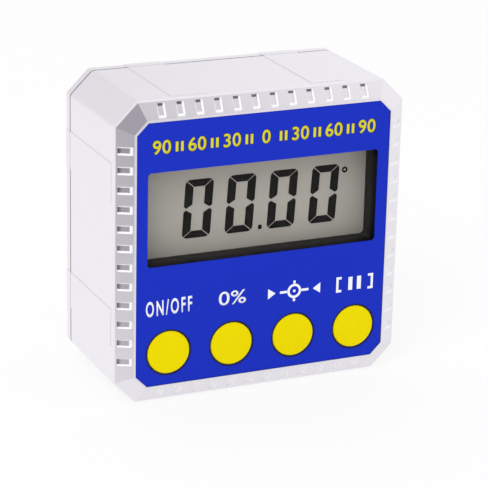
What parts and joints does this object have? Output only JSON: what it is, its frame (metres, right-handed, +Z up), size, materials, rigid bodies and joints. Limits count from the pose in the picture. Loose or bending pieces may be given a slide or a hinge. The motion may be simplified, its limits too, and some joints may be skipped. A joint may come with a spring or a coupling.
{
  "type": "digital angle gauge",
  "caption": "Small eight-sided box gauge that reads tilt: recessed display, round push buttons, raised contact pads on every side and a coin-cell door at the back.",
  "frame": {"origin": "middle of the box on the plane of the base pads", "axes": "+X to the right seen from the front, +Y from the front to the back, +Z up"},
  "size_m": [0.051, 0.027, 0.051],
  "materials": {
    "shell": "satin silver-white with a faint lavender tint",
    "label": "smooth blue film",
    "frame": "matt black moulding",
    "lens": "clear polished plastic",
    "display": "grey reflective display glass",
    "connector": "soft striped elastomer",
    "board": "green lacquered board",
    "chip": "matt black package",
    "sensor": "metal-lidded package",
    "screw": "zinc-plated steel",
    "button": "satin yellow moulding",
    "switch": "black switch case",
    "plunger": "grey plunger",
    "magnet": "nickel-plated magnet",
    "cell": "bright steel can",
    "contact": "nickel-plated spring strip",
    "wire_black": "black insulated wire",
    "wire_red": "red insulated wire"
  },
  "bodies": {
    "case": {"housing": "shell", "front_label": "label", "lcd_frame": "frame", "window_lens": "lens", "lcd_panel": "display", "lcd_connector": "connector", "circuit_board": "board", "processor_chip": "chip", "tilt_sensor": "sensor", "board_screws": "screw", "rear_cover": "shell", "cover_screws": "screw", "coin_cell": "cell", "contact_negative": "contact", "contact_positive": "contact", "lead_negative": "wire_black", "lead_positive": "wire_red", "switch_body_1": "switch", "switch_body_2": "switch", "switch_body_3": "switch", "switch_body_4": "switch", "base_magnet_1": "magnet", "base_magnet_2": "magnet"},
    "button_1": {"button_cap_1": "button", "switch_plunger_1": "plunger"},
    "button_2": {"button_cap_2": "button", "switch_plunger_2": "plunger"},
    "button_3": {"button_cap_3": "button", "switch_plunger_3": "plunger"},
    "button_4": {"button_cap_4": "button", "switch_plunger_4": "plunger"},
    "door": {"battery_door": "shell"}
  },
  "joints": [
    {"name": "button_1_press", "type": "slide", "parent": "case", "child": "button_1", "axis": [0, 1, 0], "range_m": [0, 0.0003], "stiffness_N_per_m": 800},
    {"name": "button_2_press", "type": "slide", "parent": "case", "child": "button_2", "axis": [0, 1, 0], "range_m": [0, 0.0003], "stiffness_N_per_m": 800},
    {"name": "button_3_press", "type": "slide", "parent": "case", "child": "button_3", "axis": [0, 1, 0], "range_m": [0, 0.0003], "stiffness_N_per_m": 800},
    {"name": "button_4_press", "type": "slide", "parent": "case", "child": "button_4", "axis": [0, 1, 0], "range_m": [0, 0.0003], "stiffness_N_per_m": 800},
    {"name": "door_turn", "type": "hinge", "parent": "case", "child": "door", "pos_m": [0, 0.0125, 0.0255], "axis": [0, 1, 0], "range_deg": [0, 40]}
  ]
}
